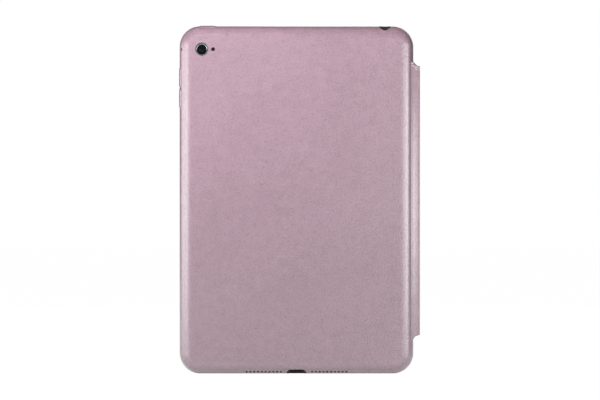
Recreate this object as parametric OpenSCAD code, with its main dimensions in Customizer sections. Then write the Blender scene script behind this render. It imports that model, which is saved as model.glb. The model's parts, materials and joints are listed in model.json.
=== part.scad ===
// Small tablet computer in a closed leather-look folio case.
// Frame: X is the width with the hinge side at +X, Y is the thickness with the case's back at -Y,
// Z is the height. The origin is the middle of the bottom of the whole object.
// "Depth" below means the distance from the case's back face towards the screen.

/* [Tablet] */
// Width of the bare tablet
tab_w = 134.8; // [130:0.1:140]
// Height of the bare tablet
tab_h = 203.2; // [198:0.1:208]
// Thickness of the bare tablet
tab_t = 6.1; // [5.9:0.1:6.5]
// Corner radius of the bare tablet
tab_r = 10; // [8.5:0.5:11]
// Rounding of the tablet's back edges
tab_edge = 4.2; // [4:0.1:4.4]
// Thickness of the front glass
glass_t = 0.8; // [0.6:0.1:0.8]
// Thickness of each battery cell
battery_t = 2.2; // [1.8:0.1:2.2]

/* [Case shell] */
// Width of the case without its spine
case_w = 140; // [139.6:0.1:142]
// Height of the case
case_h = 208; // [207.6:0.1:210]
// Corner radius of the case
case_r = 12.3; // [11.5:0.1:13]
// How far in from the side the back's flat part begins
edge_in = 6; // [5.6:0.1:6.4]
// How deep the rounding of the back edge goes
edge_deep = 7; // [6.6:0.1:7.3]
// Depth of the case's front rim
rim_depth = 8.3; // [8.2:0.1:8.6]
// Thickness of the leather-look skin
skin_t = 0.6; // [0.5:0.1:0.7]
// Depth at which the tablet's back lies
tab_back = 1.9; // [1.8:0.1:2]

/* [Cover and spine] */
// Thickness of the folding cover
cover_t = 2.6; // [2.4:0.1:3]
// Thickness of the cover's soft lining
lining_t = 0.5; // [0.4:0.1:0.6]
// Space between the rim and the closed cover
cover_gap = 0.3; // [0.3:0.1:0.6]
// How far the spine stands out past the case's side
spine_out = 3.8; // [3.6:0.1:4.2]
// Thickness of the spine strip
spine_t = 1.2; // [1.2:0.1:1.4]
// Lower end of the spine above the case's bottom
spine_low = 22.9; // [15:0.1:40]
// Upper end of the spine below the case's top
spine_high = 23.8; // [15:0.1:40]
// How much shorter the free panel is than the other two
free_short = 4.8; // [4.8:0.1:6]

/* [Openings and keys] */
// Radius of the case's camera opening
camera_open_r = 4; // [3.6:0.1:4.4]
// Radius of the camera's lens window
lens_r = 2.8; // [2.4:0.1:2.9]
// Radius of the opening over the headphone socket
jack_open_r = 3.4; // [3:0.1:3.4]
// Radius of the headphone socket's bore
jack_r = 1.78; // [1.76:0.01:1.8]
// Holes in each speaker row
speaker_holes = 10; // [6:1:12]
// Spacing of the speaker holes
speaker_pitch = 2.28; // [2:0.02:2.3]
// Length of each volume pad
volume_len = 11.4; // [10:0.1:11.6]
// Length of the power pad
power_len = 9.6; // [8:0.1:10]
// How far the pads stand proud of the case
pad_proud = 0.35; // [0.2:0.05:0.5]
// Travel of the keys
key_travel = 0.3; // [0.2:0.05:0.35]

/* [Hidden] */
$fn = 48;

leather = [0.74, 0.60, 0.67];
suede = [0.63, 0.52, 0.58];
silver = [0.80, 0.81, 0.82];
board_green = [0.10, 0.32, 0.22];
dark = [0.10, 0.10, 0.11];
steel = [0.62, 0.63, 0.65];

// Stack of depths, from the back of the case to the front of the cover.
cover_in = rim_depth + cover_gap;
cover_out = cover_in + cover_t;
total_t = cover_out;
mid_z = case_h / 2;
// The case is off centre, because the spine stands out further than the volume pads.
case_x = (pad_proud - spine_out) / 2;
case_left = case_x - case_w / 2;
case_right = case_x + case_w / 2;

// Small gaps: between moving pieces, around a snug piece, and between neighbouring layers.
move_gap = 0.3;
snug = 0.15;
key_gap = 0.2;
far = 300;

// Hinge axes of the cover. Both lie in the middle of the spine strip.
spine_x = case_right + spine_out - spine_t / 2;
hinge_a_depth = 3.6;
hinge_b_depth = cover_out - 1;
edge_to_b = spine_t / 2 + move_gap;
fold_depth = cover_in + lining_t / 2;
cover_left = case_left + 0.4;
cover_right = case_right - 0.3;
panel_len = (spine_x - cover_left + free_short) / 3;
fold_1_x = spine_x - panel_len;
fold_2_x = spine_x - 2 * panel_len;
// The panels' edges slope by this much, so that two of them fold up to 120 degrees.
bevel = tan(60);

// Places of the openings, in the object's frame.
camera_x = case_left + 13.5;
camera_z = case_h - 14.1;
mic_x = camera_x + 6.75;
jack_x = case_right - 17.1;
jack_depth = 4.7;
volume_up_z = case_h - 30.7;
volume_down_z = case_h - 43.1;
power_x = case_left + 16.9;
key_depth = 5;
pad_wide = 3.4;
// The tablet's own keys, and the small space between each key and the pad over it.
key_len = 9;
key_wide = 2;
key_proud = 0.35;
key_reach = 0.1;
speaker_depth = 3;
speaker_first = 9.3;
speaker_r = 0.62;
side_slot_depth = 3;
port_depth = 4.6;
port_open_w = 11.6;
port_open_h = 6.6;
port_open_r = 2.4;
port_w = 8.3;
socket_r = 2.1;
port_h = 2.9;

// Tablet's inner levels, measured from the tablet's own back.
floor_w = 0.7;
ledge_w = tab_t - glass_t;
glass_in = 1;
gasket_in = 0.7;
cavity_in = 2;
cavity_edge = 3;
home_v = -tab_h / 2 + 11;
home_r = 5.2;
battery_w = 1.1;
board_w = 1.2;
board_t = 0.7;
chips_w = board_w + board_t;
display_t = 0.9;
backlight_t = 0.7;
display_w = ledge_w - display_t - 0.05;
backlight_w = display_w - backlight_t - 0.05;

corner_steps = 8;
edge_steps = 7;

// ---------- helpers ----------

// Y of a given depth behind the case's back face.
function at_depth(d) = d - total_t / 2;

// One ring of a rounded rectangle about the origin, in the XZ plane at the given Y.
function ring(w, h, r, y) = [
    for (c = [0:3], i = [0:corner_steps])
        let (a = 90 * (c + i / corner_steps),
             sx = (c == 0 || c == 3) ? 1 : -1,
             sz = (c < 2) ? 1 : -1)
        [sx * (w / 2 - r) + r * cos(a), y, sz * (h / 2 - r) + r * sin(a)]
];

// Levels of a back edge that is rounded as a quarter ellipse, as [how far in, depth].
function edge_levels(first_in, wide, first_depth, deep) = [
    for (i = [0:edge_steps])
        let (a = 90 * i / edge_steps)
        [first_in + wide * (1 - sin(a)), first_depth + deep * (1 - cos(a))]
];

// A slab whose outline shrinks by the first number of each level at the depth given by the second.
module lofted(w, h, r, levels) {
    rings = [for (l = levels) ring(w - 2 * l[0], h - 2 * l[0], r - l[0], at_depth(l[1]))];
    n = len(rings[0]);
    m = len(rings);
    sides = [for (k = [0:m - 2], i = [0:n - 1])
        let (j = (i + 1) % n)
        [k * n + i, k * n + j, (k + 1) * n + j, (k + 1) * n + i]];
    translate([case_x, 0, mid_z])
        polyhedron(
            points = [for (one = rings) each one],
            faces = concat([[for (i = [n - 1:-1:0]) i]], sides, [[for (i = [0:n - 1]) (m - 1) * n + i]]),
            convexity = 4
        );
}

// A box between two X, two depths and two Z.
module block(x0, x1, d0, d1, z0, z1) {
    translate([x0, at_depth(d0), z0]) cube([x1 - x0, d1 - d0, z1 - z0]);
}

// A box given in the tablet's own terms: across and up from its middle, and in from its back.
module part_block(u0, u1, v0, v1, w0, w1) {
    block(case_x + u0, case_x + u1, tab_back + w0, tab_back + w1, mid_z + v0, mid_z + v1);
}

// A round bar along the thickness, in the object's X and Z.
module bar_y(x, z, d0, d1, r) {
    translate([x, at_depth(d1), z]) rotate([90, 0, 0]) cylinder(h = d1 - d0, r = r);
}

// The same in the tablet's own terms.
module part_bar(u, v, w0, w1, r) {
    bar_y(case_x + u, mid_z + v, tab_back + w0, tab_back + w1, r);
}

// A round bar along the height.
module bar_z(x, depth, z0, z1, r) {
    translate([x, at_depth(depth), z0]) cylinder(h = z1 - z0, r = r);
}

// A flat rectangle with round corners.
module round_rect(x0, x1, y0, y1, r) {
    translate([x0 + r, y0]) square([x1 - x0 - 2 * r, y1 - y0]);
    translate([x0, y0 + r]) square([x1 - x0, y1 - y0 - 2 * r]);
    for (x = [x0 + r, x1 - r], y = [y0 + r, y1 - r]) translate([x, y]) circle(r);
}

// A flat outline in X and Z, given a thickness between two depths.
module slab(d0, d1) {
    translate([0, at_depth(d1), 0]) rotate([90, 0, 0]) linear_extrude(d1 - d0) children();
}

// A slot with round corners that runs along Z, centred on x and depth.
module slot_z(x, depth, w, h, r, z0, z1) {
    translate([x, at_depth(depth), z0])
        linear_extrude(z1 - z0) round_rect(-w / 2, w / 2, -h / 2, h / 2, r);
}

// A slot with round ends that runs along X, centred on depth and z.
module slot_x(x0, x1, depth, z, wide, long) {
    r = wide / 2;
    translate([x0, at_depth(depth), z]) rotate([90, 0, 90])
        linear_extrude(x1 - x0) round_rect(-r, r, -long / 2, long / 2, r - 0.01);
}

// ---------- solids shared by several pieces ----------

// Outer form of the closed case, without cover and spine.
module case_form() {
    lofted(case_w, case_h, case_r,
        concat(edge_levels(0, edge_in, 0, edge_deep), [[0, rim_depth - 0.3], [0.3, rim_depth]]));
}

// The hard shell's outer form, one skin's thickness inside the case.
module shell_form() {
    lofted(case_w, case_h, case_r,
        concat(edge_levels(skin_t, edge_in - skin_t, skin_t, edge_deep - skin_t),
            [[skin_t, rim_depth - skin_t]]));
}

// The bed that the tablet lies in, open to the front.
module tablet_bed() {
    lofted(tab_w + 2 * snug, tab_h + 2 * snug, tab_r + snug,
        concat(edge_levels(0, tab_edge, tab_back - 0.2, tab_edge), [[0, rim_depth + 1]]));
}

// The tablet's outer form up to the front glass.
module tablet_form() {
    lofted(tab_w, tab_h, tab_r,
        concat(edge_levels(0, tab_edge, tab_back, tab_edge),
            [[0, tab_back + tab_t - 0.45], [0.35, tab_back + tab_t - 0.1]]));
}

// The speaker holes' places across, on both sides of the middle.
function speaker_places() = [
    for (side = [-1, 1], i = [0:speaker_holes - 1]) case_x + side * (speaker_first + i * speaker_pitch)
];

// Everything that is cut through the case's wall.
module case_cuts() {
    bar_y(camera_x, camera_z, -1, tab_back, camera_open_r);
    bar_y(mic_x, camera_z, -1, tab_back, 1.15);
    bar_z(jack_x, jack_depth, case_h - 5, case_h + 1, jack_open_r);
    slot_z(case_x, port_depth, port_open_w, port_open_h, port_open_r, -1, 5);
    for (x = speaker_places()) bar_z(x, speaker_depth, -1, 5.5, speaker_r);
    slot_x(case_left - 1, case_left + 6, side_slot_depth, camera_z, 0.9, 1.9);
    for (z = [volume_up_z, volume_down_z])
        slot_x(case_left - 1, case_left + 3.5, key_depth, z,
            pad_wide + 2 * key_gap, volume_len + 2 * key_gap);
    slot_z(power_x, key_depth, power_len + 2 * key_gap, pad_wide + 2 * key_gap, 1.6 + key_gap,
        case_h - 3.4, case_h + 1);
}

// Four bars of the shell's magnets, or the slightly larger pockets that hold them.
module shell_magnet_bars(more) {
    for (z = [24, 60, 96, 132])
        block(case_left + 1.3 - more, case_left + 2.1 + more, 4.6 - more, 7.2 + more,
            z - more, z + 12 + more);
}

// ---------- case ----------

// The whole leather-look skin, with every opening.
module skin_form() {
    difference() {
        case_form();
        shell_form();
        tablet_bed();
        case_cuts();
    }
}

// Space of the short stretch of skin round the headphone socket, which is a piece of its own.
module jack_zone() {
    block(jack_x - 9, jack_x + 9, -1, rim_depth + 1, case_h - 8, case_h + 1);
}

module case_skin() {
    color(leather) difference() {
        skin_form();
        jack_zone();
    }
}

module jack_surround() {
    color(leather) intersection() {
        skin_form();
        jack_zone();
    }
}

module case_shell() {
    color(suede) difference() {
        shell_form();
        tablet_bed();
        case_cuts();
        shell_magnet_bars(0.05);
    }
}

module case_lining() {
    color(suede) difference() {
        slab(tab_back - 0.2, tab_back - 0.03)
            round_rect(case_left + 9, case_right - 9, 9, case_h - 9, 6);
        bar_y(camera_x, camera_z, 0, tab_back + 1, camera_open_r + 0.4);
        bar_y(mic_x, camera_z, 0, tab_back + 1, 1.5);
    }
}

module shell_magnets() {
    color(steel) shell_magnet_bars(0);
}

// Leather web that carries the spine, from the case's side to the first hinge line.
module hinge_web() {
    color(leather) difference() {
        block(case_right - 3, spine_x - edge_to_b, hinge_a_depth - spine_t / 2, hinge_a_depth + spine_t / 2,
            spine_low, case_h - spine_high);
        case_form();
    }
}

// A pad with a stem that reaches the tablet's own key, pressed along X.
module side_pad(z) {
    stem = case_x - tab_w / 2 - key_proud - key_reach;
    slot_x(case_left - pad_proud, stem, key_depth, z, pad_wide, volume_len);
}

module volume_up_pad() {
    color(leather) side_pad(volume_up_z);
}

module volume_down_pad() {
    color(leather) side_pad(volume_down_z);
}

module power_pad() {
    stem = mid_z + tab_h / 2 + key_proud + key_reach;
    color(leather)
        slot_z(power_x, key_depth, power_len, pad_wide, 1.6, stem, case_h + pad_proud);
}

// ---------- spine ----------

// A strip with round edges along both hinge lines.
module spine_strip(half_t, trim) {
    for (depth = [hinge_a_depth, hinge_b_depth])
        bar_z(spine_x, depth, spine_low + trim, case_h - spine_high - trim, half_t);
    block(spine_x - half_t, spine_x + half_t, hinge_a_depth, hinge_b_depth,
        spine_low + trim, case_h - spine_high - trim);
}

module spine_core() {
    block(spine_x - 0.25, spine_x + 0.25, hinge_a_depth + 0.8, hinge_b_depth - 0.8,
        spine_low + 1, case_h - spine_high - 1);
}

module spine_board() {
    color(steel) spine_core();
}

module spine_skin() {
    color(leather) difference() {
        spine_strip(spine_t / 2, 0);
        spine_core();
    }
}

// ---------- cover ----------

// Outline of the whole cover in X and Z, with the tongue that reaches the spine.
module cover_outline(trim) {
    round_rect(cover_left + trim, cover_right - trim, 0.4 + trim, case_h - 0.4 - trim, case_r - 0.4 - trim);
    translate([cover_right - 20, spine_low + trim])
        square([spine_x - edge_to_b - trim - cover_right + 20, case_h - spine_high - spine_low - 2 * trim]);
}

// Outline of a panel's edge beside a fold, in X and depth. Side is 1 for the panel at +X of the fold.
function fold_edge(x, side, trim) = let (start = x + side * (move_gap + trim)) [
    [start, cover_in - 1],
    [start, fold_depth],
    [start + side * bevel * (cover_out + 1 - fold_depth), cover_out + 1]
];

function open_edge(x) = [[x, cover_in - 1], [x, cover_out + 1]];

// The cover between two edges, cut from the full outline.
module cover_piece(d0, d1, low_edge, high_edge, trim) {
    intersection() {
        slab(d0, d1) cover_outline(trim);
        translate([0, -total_t / 2, -1]) linear_extrude(case_h + 2)
            polygon(concat(low_edge, [for (i = [len(high_edge) - 1:-1:0]) high_edge[i]]));
    }
}

module panel_piece(number, d0, d1, trim) {
    side_trim = 1.6 * trim;
    low = number == 1 ? fold_edge(fold_1_x, 1, side_trim)
        : number == 2 ? fold_edge(fold_2_x, 1, side_trim) : open_edge(-far);
    high = number == 1 ? open_edge(far)
        : number == 2 ? fold_edge(fold_1_x, -1, side_trim) : fold_edge(fold_2_x, -1, side_trim);
    cover_piece(d0, d1, low, high, trim);
}

module panel_core(number) {
    panel_piece(number, cover_in + lining_t, cover_out - skin_t, 0.6);
}

module panel_soft(number) {
    panel_piece(number, cover_in, cover_in + lining_t, 0.5);
}

module panel_board(number) {
    color(dark) difference() {
        panel_core(number);
        if (number == 1) roll_magnet_bars(0.05);
        if (number == 3) cover_magnet_bars(0.05);
    }
}

module panel_skin(number) {
    color(leather) difference() {
        panel_piece(number, cover_in, cover_out, 0);
        panel_core(number);
        panel_soft(number);
    }
}

module panel_lining(number) {
    color(suede) panel_soft(number);
}

// Magnets that hold the rolled-up cover as a stand.
module roll_magnet_bars(more) {
    for (z = [40, 98, 156])
        block(spine_x - 14 - more, spine_x - 8 + more, cover_in + 0.8 - more, cover_in + 1.6 + more,
            z - more, z + 12 + more);
}

// Magnets that hold the free panel shut and wake the tablet.
module cover_magnet_bars(more) {
    for (z = [24, 60, 96, 132, 168])
        block(cover_left + 3 - more, cover_left + 7 + more, cover_in + 0.8 - more, cover_in + 1.6 + more,
            z - more, z + 12 + more);
}

module panel_board_1() { panel_board(1); }
module panel_board_2() { panel_board(2); }
module panel_board_3() { panel_board(3); }
module panel_skin_1() { panel_skin(1); }
module panel_skin_2() { panel_skin(2); }
module panel_skin_3() { panel_skin(3); }
module panel_lining_1() { panel_lining(1); }
module panel_lining_2() { panel_lining(2); }
module panel_lining_3() { panel_lining(3); }

module roll_magnets() {
    color(steel) roll_magnet_bars(0);
}

module cover_magnets() {
    color(steel) cover_magnet_bars(0);
}

// ---------- tablet: housing and display ----------

// Space inside the housing, below the glass.
module housing_space() {
    lofted(tab_w, tab_h, tab_r,
        concat(edge_levels(cavity_in, cavity_edge, tab_back + floor_w, cavity_edge),
            [[cavity_in, tab_back + ledge_w + 0.1]]));
}

// Recess that the glass and its gasket sit in.
module glass_recess(inset, w0, w1) {
    lofted(tab_w, tab_h, tab_r, [[inset, tab_back + w0], [inset, tab_back + w1]]);
}

// Side keys of the tablet: a bar with round ends through the housing's wall.
module side_key_bar(z, more, x0, x1) {
    slot_x(x0, x1, key_depth, z, key_wide + 2 * more, key_len + 2 * more);
}

module rear_housing() {
    left = case_x - tab_w / 2;
    top = mid_z + tab_h / 2;
    bottom = mid_z - tab_h / 2;
    color(silver) difference() {
        tablet_form();
        housing_space();
        glass_recess(gasket_in, ledge_w, tab_t + 1);
        bar_y(camera_x, camera_z, 0, tab_back + 2, lens_r + 0.75);
        bar_y(mic_x, camera_z, 0, tab_back + 2, 0.5);
        bar_z(jack_x, jack_depth, top - 4, top + 1, jack_r + 0.3);
        bar_z(jack_x, jack_depth, top - 16, top - 2.15, socket_r + 0.05);
        slot_z(case_x, port_depth, port_w + 0.4, port_h + 0.4, 1.5, bottom - 1, bottom + 4);
        slot_z(case_x, port_depth, port_w + 1.3, port_h + 1, 1.85, bottom + 2.25, bottom + 5.7);
        for (x = speaker_places()) bar_z(x, speaker_depth, bottom - 1, bottom + 5, speaker_r);
        for (z = [volume_up_z, volume_down_z]) side_key_bar(z, key_gap, left - 1, left + 3);
        slot_z(power_x, key_depth, key_len + 2 * key_gap, key_wide + 2 * key_gap,
            key_wide / 2 + key_gap - 0.01, top - 3, top + 1);
    }
}

module glass_gasket() {
    color(dark) difference() {
        glass_recess(gasket_in + 0.02, ledge_w, tab_t - 0.2);
        glass_recess(glass_in - 0.02, ledge_w - 1, tab_t + 1);
    }
}

module cover_glass() {
    color([0.93, 0.93, 0.94]) difference() {
        glass_recess(glass_in, ledge_w, tab_t);
        part_bar(0, home_v, 0, tab_t + 1, home_r + 0.95);
    }
}

module display_panel() {
    color([0.05, 0.05, 0.06]) part_block(-62, 62, -82, 82, display_w, display_w + display_t);
}

module backlight_unit() {
    color([0.90, 0.90, 0.90]) part_block(-62, 62, -82, 82, backlight_w, backlight_w + backlight_t);
}

module home_button() {
    color([0.95, 0.95, 0.95]) {
        part_bar(0, home_v, ledge_w - 0.5, tab_t - 0.1, home_r);
        part_bar(0, home_v, ledge_w - 0.8, ledge_w - 0.5, home_r - 1);
    }
}

module home_button_ring() {
    color(steel) difference() {
        part_bar(0, home_v, ledge_w, tab_t - 0.02, home_r + 0.9);
        part_bar(0, home_v, 0, tab_t + 1, home_r + 0.2);
    }
}

module home_button_switch() {
    color(dark) part_bar(0, home_v, ledge_w - 1.5, ledge_w - 0.8 - key_travel - 0.1, 2);
}

module home_button_bracket() {
    color(steel) part_block(-9, 9, home_v - 3, home_v + 4, ledge_w - 1.9, ledge_w - 1.5);
}

module front_camera() {
    color(dark) {
        part_block(-3.5, 3.5, 88.5, 95.5, 2, 4.2);
        part_bar(0, 92, 4.2, ledge_w - 0.05, 1.6);
    }
}

module light_sensor() {
    color(dark) part_block(-1.2, 1.2, 97, 98.6, 4.2, ledge_w - 0.05);
}

// ---------- tablet: electronics ----------

module logic_board() {
    color(board_green) difference() {
        part_block(-63, -43, -70, 80, board_w, board_w + board_t);
        for (v = [-67, 5, 77]) part_bar(-46, v, 0, 3, 0.9);
    }
}

module board_screws() {
    color(steel) for (v = [-67, 5, 77]) {
        part_bar(-46, v, floor_w + 0.02, chips_w, 0.8);
        part_bar(-46, v, chips_w + 0.02, chips_w + 0.5, 1.4);
    }
}

module processor_chip() {
    color(dark) part_block(-60, -48, 28, 40, chips_w, chips_w + 0.8);
}

// Memory, power and radio chips along the board.
module memory_chips() {
    color(dark) for (v = [14, 45, -12, -28]) part_block(-59, -49, v, v + 8, chips_w, chips_w + 0.7);
}

// A thin metal can over the chips.
module board_shield() {
    color(steel) difference() {
        part_block(-61.5, -48 + 0.6, -31, 56, chips_w, chips_w + 1.2);
        part_block(-61.3, -47.6, -30.8, 55.8, chips_w - 1, chips_w + 1);
    }
}

module battery_left() {
    color(dark) part_block(-41, 10, -58, 64, battery_w, battery_w + battery_t);
}

module battery_right() {
    color(dark) part_block(11.5, 61.5, -58, 64, battery_w, battery_w + battery_t);
}

module battery_board() {
    color(board_green) part_block(-20, 40, 66, 72, board_w, board_w + 1.4);
}

// A speaker box with a rounded sound chamber on one side of the middle.
module speaker_box(side) {
    a = side < 0 ? -44 : 10;
    part_block(a, a + 34, -96.8, -80, 0.9, 3.2);
    part_bar(a + 17, -88, 3.2, 3.5, 6);
}

module left_speaker() {
    color(dark) speaker_box(-1);
}

module right_speaker() {
    color(dark) speaker_box(1);
}

// Fine mesh behind both rows of speaker holes.
module speaker_mesh() {
    long = speaker_holes * speaker_pitch;
    color(steel) for (side = [-1, 1]) {
        u = side * (speaker_first - speaker_pitch / 2 + long / 2);
        part_block(u - long / 2, u + long / 2, -97.4, -97.1, 1, 2.2);
    }
}

module charge_port() {
    bottom = -tab_h / 2;
    color(steel) difference() {
        slot_z(case_x, port_depth, port_w + 1.2, port_h + 0.9, 1.8,
            mid_z + bottom + 2.3, mid_z + bottom + 5.6);
        slot_z(case_x, port_depth, port_w, port_h, 1.4, mid_z + bottom, mid_z + bottom + 5);
    }
}

// Row of contacts inside the charge port.
module port_tongue() {
    color([0.80, 0.66, 0.35]) for (side = [-1, 1], i = [-3.5:1:3.5])
        block(case_x + i * 0.85 - 0.2, case_x + i * 0.85 + 0.2,
            port_depth + side * 1.2 - 0.2, port_depth + side * 1.2 + 0.2,
            mid_z - tab_h / 2 + 2.6, mid_z - tab_h / 2 + 5);
}

module dock_flex() {
    color([0.55, 0.32, 0.10]) {
        part_block(-5, 5, -95.9, -68.5, 0.75, 0.95);
        part_block(-62, -5, -75, -68.5, 0.75, 0.95);
    }
}

module headphone_socket() {
    top = mid_z + tab_h / 2;
    color(dark) difference() {
        union() {
            bar_z(jack_x, jack_depth, top - 15.5, top - 2.2, socket_r);
            block(jack_x - 3, jack_x + 3, jack_depth - 1.2, jack_depth + 1.8, top - 15.5, top - 7);
        }
        bar_z(jack_x, jack_depth, top - 14.5, top, jack_r);
    }
}

module camera_module() {
    u = camera_x - case_x;
    v = camera_z - mid_z;
    color(dark) difference() {
        union() {
            part_block(u - 4, u + 4, v - 4, v + 4, 1, 4.8);
            part_bar(u, v, 0.3, 1, lens_r + 0.1);
        }
        part_bar(u, v, -1, 0.5, lens_r - 0.4);
    }
}

module camera_ring() {
    color(silver) difference() {
        bar_y(camera_x, camera_z, tab_back - 0.3, tab_back + 0.68, lens_r + 0.7);
        bar_y(camera_x, camera_z, tab_back - 1, tab_back + 0.05, lens_r + 0.02);
        bar_y(camera_x, camera_z, tab_back - 1, tab_back + 1, lens_r + 0.15);
    }
}

module camera_lens() {
    color([0.02, 0.02, 0.03])
        bar_y(camera_x, camera_z, tab_back - 0.2, tab_back + 0.28, lens_r + 0.1);
}

module rear_microphone() {
    color(steel) part_block(mic_x - case_x - 1.6, mic_x - case_x + 1.6, camera_z - mid_z - 1.2,
        camera_z - mid_z + 1.2, floor_w + 0.02, 1.9);
}

module top_antenna() {
    color([0.75, 0.62, 0.30]) {
        part_block(6, 40, 95.5, 98.5, 2.2, 3.4);
        part_block(-40, -8, 95.5, 98.5, 2.2, 3.4);
    }
}

// The tablet's own key: a cap in the wall, with a wider foot inside that keeps it in.
module side_key(z) {
    left = case_x - tab_w / 2;
    side_key_bar(z, 0, left - key_proud, left + cavity_in + 0.2);
}

module volume_up_key() {
    color(silver) side_key(volume_up_z);
}

module volume_down_key() {
    color(silver) side_key(volume_down_z);
}

module power_key() {
    top = mid_z + tab_h / 2;
    color(silver)
        slot_z(power_x, key_depth, key_len, key_wide, key_wide / 2 - 0.01,
            top - cavity_in - 0.2, top + key_proud);
}

// Dome switches behind the three keys.
module key_switches() {
    left = case_x - tab_w / 2 + cavity_in + 0.3 + key_travel;
    top = mid_z + tab_h / 2 - cavity_in - 0.3 - key_travel;
    color(steel) {
        for (z = [volume_up_z, volume_down_z])
            block(left, left + 0.8, key_depth - 0.9, key_depth + 0.9, z - 2, z + 2);
        block(power_x - 2, power_x + 2, key_depth - 0.9, key_depth + 0.9, top - 0.6, top);
    }
}

// Flexible circuit that carries the volume switches.
module key_flex() {
    left = case_x - tab_w / 2 + cavity_in + 1.1 + key_travel;
    color([0.55, 0.32, 0.10])
        block(left + 0.02, left + 0.2, key_depth - 1, key_depth + 1, volume_down_z - 6, volume_up_z + 6);
}

module display_flex() {
    color([0.55, 0.32, 0.10]) part_block(-60, -30, 66, 76, 3.3, 3.45);
}

module housing_magnets() {
    color(steel) for (v = [-70, -35, 0, 35, 70])
        part_block(62.6, 64.8, v - 6, v + 6, 2.8, 5);
}

case_skin();
jack_surround();
case_shell();
case_lining();
shell_magnets();
hinge_web();
volume_up_pad();
volume_down_pad();
power_pad();
spine_board();
spine_skin();
panel_board_1();
panel_board_2();
panel_board_3();
panel_skin_1();
panel_skin_2();
panel_skin_3();
panel_lining_1();
panel_lining_2();
panel_lining_3();
roll_magnets();
cover_magnets();
rear_housing();
glass_gasket();
cover_glass();
display_panel();
backlight_unit();
home_button();
home_button_ring();
home_button_switch();
home_button_bracket();
front_camera();
light_sensor();
logic_board();
processor_chip();
memory_chips();
board_shield();
board_screws();
battery_left();
battery_right();
battery_board();
left_speaker();
right_speaker();
speaker_mesh();
charge_port();
port_tongue();
dock_flex();
headphone_socket();
camera_module();
camera_ring();
camera_lens();
rear_microphone();
top_antenna();
volume_up_key();
volume_down_key();
power_key();
key_switches();
key_flex();
display_flex();
housing_magnets();
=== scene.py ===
"""Looks of a small tablet in a closed leather-look folio case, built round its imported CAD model.

Lengths are in millimetres, in the model's own frame: X is the width with the hinge side at +X, Y is
the thickness from the case's back to the cover, and Z is the height. "Depth" is the distance from
the case's back face along Y. Each mesh is turned to metres as it is made. Angles are in degrees.
"""

import json
import math

import bmesh
import bpy
import numpy as np
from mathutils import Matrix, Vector


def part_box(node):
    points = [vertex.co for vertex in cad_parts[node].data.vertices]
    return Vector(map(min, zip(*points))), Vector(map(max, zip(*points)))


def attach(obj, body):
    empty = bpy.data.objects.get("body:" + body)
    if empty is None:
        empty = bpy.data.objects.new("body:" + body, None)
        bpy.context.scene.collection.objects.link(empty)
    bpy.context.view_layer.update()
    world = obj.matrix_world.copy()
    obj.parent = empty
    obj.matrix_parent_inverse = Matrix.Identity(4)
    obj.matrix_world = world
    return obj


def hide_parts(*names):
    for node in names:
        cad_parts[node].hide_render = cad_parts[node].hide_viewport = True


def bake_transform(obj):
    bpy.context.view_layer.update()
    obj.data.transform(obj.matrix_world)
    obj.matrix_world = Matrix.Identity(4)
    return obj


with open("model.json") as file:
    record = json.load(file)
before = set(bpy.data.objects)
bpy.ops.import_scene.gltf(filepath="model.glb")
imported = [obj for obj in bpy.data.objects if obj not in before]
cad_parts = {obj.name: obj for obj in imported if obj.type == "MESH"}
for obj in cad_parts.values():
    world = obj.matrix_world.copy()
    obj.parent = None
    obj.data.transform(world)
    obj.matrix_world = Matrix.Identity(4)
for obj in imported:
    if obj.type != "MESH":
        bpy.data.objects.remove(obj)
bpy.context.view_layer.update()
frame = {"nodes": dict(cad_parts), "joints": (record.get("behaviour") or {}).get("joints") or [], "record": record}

# ---------- sizes taken from the CAD model ----------

MM = 0.001
TABLET_BODY = "tablet_in_shell"


def box_mm(node):
    """Lowest and highest corner of a CAD node, in millimetres."""
    low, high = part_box(node)
    return np.array(low) / MM, np.array(high) / MM


def centre_mm(node):
    low, high = box_mm(node)
    return (low + high) / 2


def joint_mm(name):
    """Place of a hinge, in millimetres."""
    found = [joint for joint in frame["joints"] if joint["name"] == name]
    return np.array(found[0]["pos_m"]) / MM


CASE_LOW, CASE_HIGH = box_mm("case_skin")
BACK_Y = CASE_LOW[1]
RIM_DEPTH = CASE_HIGH[1] - BACK_Y
CASE_X = (CASE_LOW[0] + CASE_HIGH[0]) / 2
SPINE_LOW, SPINE_HIGH = box_mm("spine_skin")
COVER_LOW, _ = box_mm("panel_skin_3")
COVER_OUT = box_mm("panel_skin_2")[1][1] - BACK_Y
COVER_IN = box_mm("panel_skin_2")[0][1] - BACK_Y
COVER_TOP = box_mm("panel_skin_2")[1][2]
COVER_BOTTOM = box_mm("panel_skin_2")[0][2]
HINGE_A = joint_mm("spine_turn")
HINGE_B = joint_mm("cover_turn")
FOLD_1 = joint_mm("first_fold")
FOLD_2 = joint_mm("second_fold")
FOLD_DEPTH = FOLD_1[1] - BACK_Y
CAMERA = centre_mm("camera_ring")
CAMERA_BACK = box_mm("camera_ring")[0][1] - BACK_Y
HOME = centre_mm("home_button")
MICROPHONE = centre_mm("rear_microphone")
SOCKET = centre_mm("headphone_socket")
GLASS_LOW, GLASS_HIGH = box_mm("cover_glass")

# ---------- sizes of the case's own forms ----------

CASE_R = 12.3
EDGE_IN = 8.0
EDGE_DEEP = 7.0
EDGE_POWER = 2.5
SKIN = 0.58
RIM_WIDE = 2.45
COVER_R = 11.9
COVER_RIGHT = CASE_HIGH[0] - 0.3
CORNER_STEPS = 14
EDGE_STEPS = 18
SMOOTH_ANGLE = 38

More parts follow.
